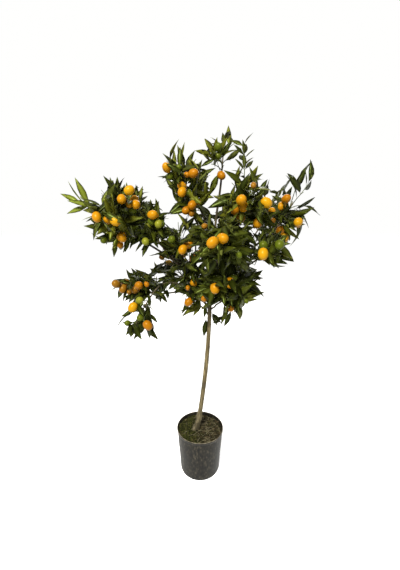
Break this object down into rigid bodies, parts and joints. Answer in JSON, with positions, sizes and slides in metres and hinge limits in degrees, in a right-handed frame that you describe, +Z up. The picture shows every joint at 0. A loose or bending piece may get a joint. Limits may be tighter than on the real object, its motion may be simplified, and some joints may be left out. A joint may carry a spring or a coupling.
{
  "type": "potted kumquat tree",
  "caption": "Kumquat tree grown as a standard in a plain nursery pot: a clear leaning stem, forked boughs and a loose leafy crown with ripe and green fruit.",
  "frame": {"origin": "centre of the pot's flat underside", "axes": "+Z up, -Y towards the front of the tree, +X to the right seen from the front"},
  "size_m": [1.0767, 0.8382, 1.7237],
  "materials": {
    "pot": "thin dark grey plastic with a dusty satin surface",
    "soil": "damp dark brown potting mix with moss, straw and bark chips",
    "bark": "smooth olive-brown young bark, greyer and rougher at the foot",
    "foliage": "glossy dark green leathery leaves, paler underneath and at the shoot tips",
    "fruit": "satin orange rind with fine oil pits, green where unripe"
  },
  "bodies": {
    "root": {"pot": "pot", "soil": "soil", "trunk": "bark", "bough_top": "bark", "bough_left": "bark", "bough_right": "bark", "bough_front": "bark", "bough_back": "bark", "bough_left_low": "bark", "bough_low_left": "bark", "bough_low_front": "bark", "bough_back_low_left": "bark", "bough_back_low_right": "bark", "bough_upper_right": "bark", "bough_centre_left": "bark", "bough_top_left": "bark", "bough_back_top": "bark", "bough_left_inner": "bark", "bough_back_left": "bark", "bough_back_right": "bark", "bough_right_low": "bark", "bough_left_drooping": "bark", "foliage_left": "foliage", "foliage_left_inner": "foliage", "foliage_top_left": "foliage", "foliage_top": "foliage", "foliage_upper_right": "foliage", "foliage_right": "foliage", "foliage_front": "foliage", "foliage_right_low": "foliage", "foliage_low_front": "foliage", "foliage_left_low": "foliage", "foliage_left_drooping": "foliage", "foliage_centre_left": "foliage", "foliage_low_left": "foliage", "foliage_back_left": "foliage", "foliage_back_right": "foliage", "foliage_back_top": "foliage", "foliage_back": "foliage", "foliage_back_low_right": "foliage", "foliage_back_low_left": "foliage"}
  },
  "joints": []
}
